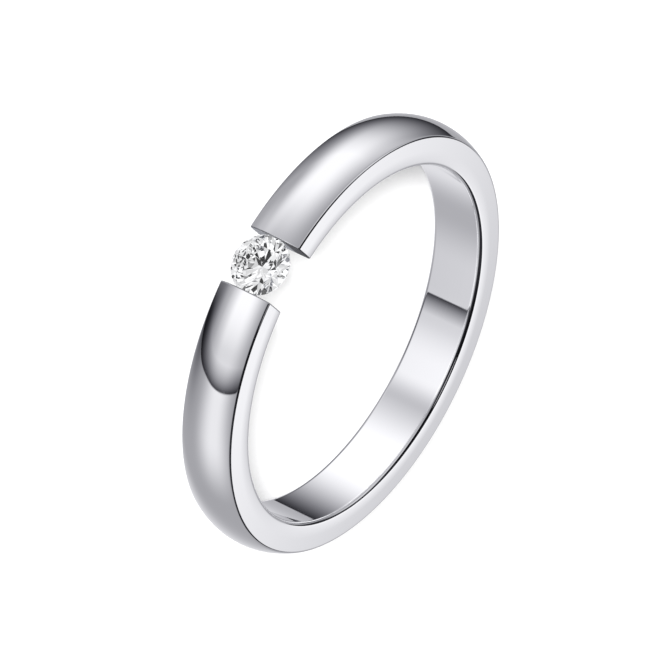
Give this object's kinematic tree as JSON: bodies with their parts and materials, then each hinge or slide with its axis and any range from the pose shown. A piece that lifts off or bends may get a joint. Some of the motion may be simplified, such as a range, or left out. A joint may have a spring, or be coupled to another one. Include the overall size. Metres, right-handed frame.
{
  "type": "wedding ring",
  "caption": "Tension-set wedding ring: domed polished band cut open at the front, gripping a round brilliant stone between its two ends.",
  "frame": {"origin": "on the axis of the finger hole, on the surface that the ring rests on when it lies on its side", "axes": "+Z along the axis of the finger hole, upwards; the stone is at the front, towards -Y, with its table facing -Y"},
  "size_m": [0.021, 0.0209, 0.0028],
  "materials": {
    "polished_metal": "mirror polished white metal",
    "clear_stone": "clear faceted stone, polished"
  },
  "bodies": {
    "root": {"band": "polished_metal", "stone": "clear_stone"}
  },
  "joints": []
}
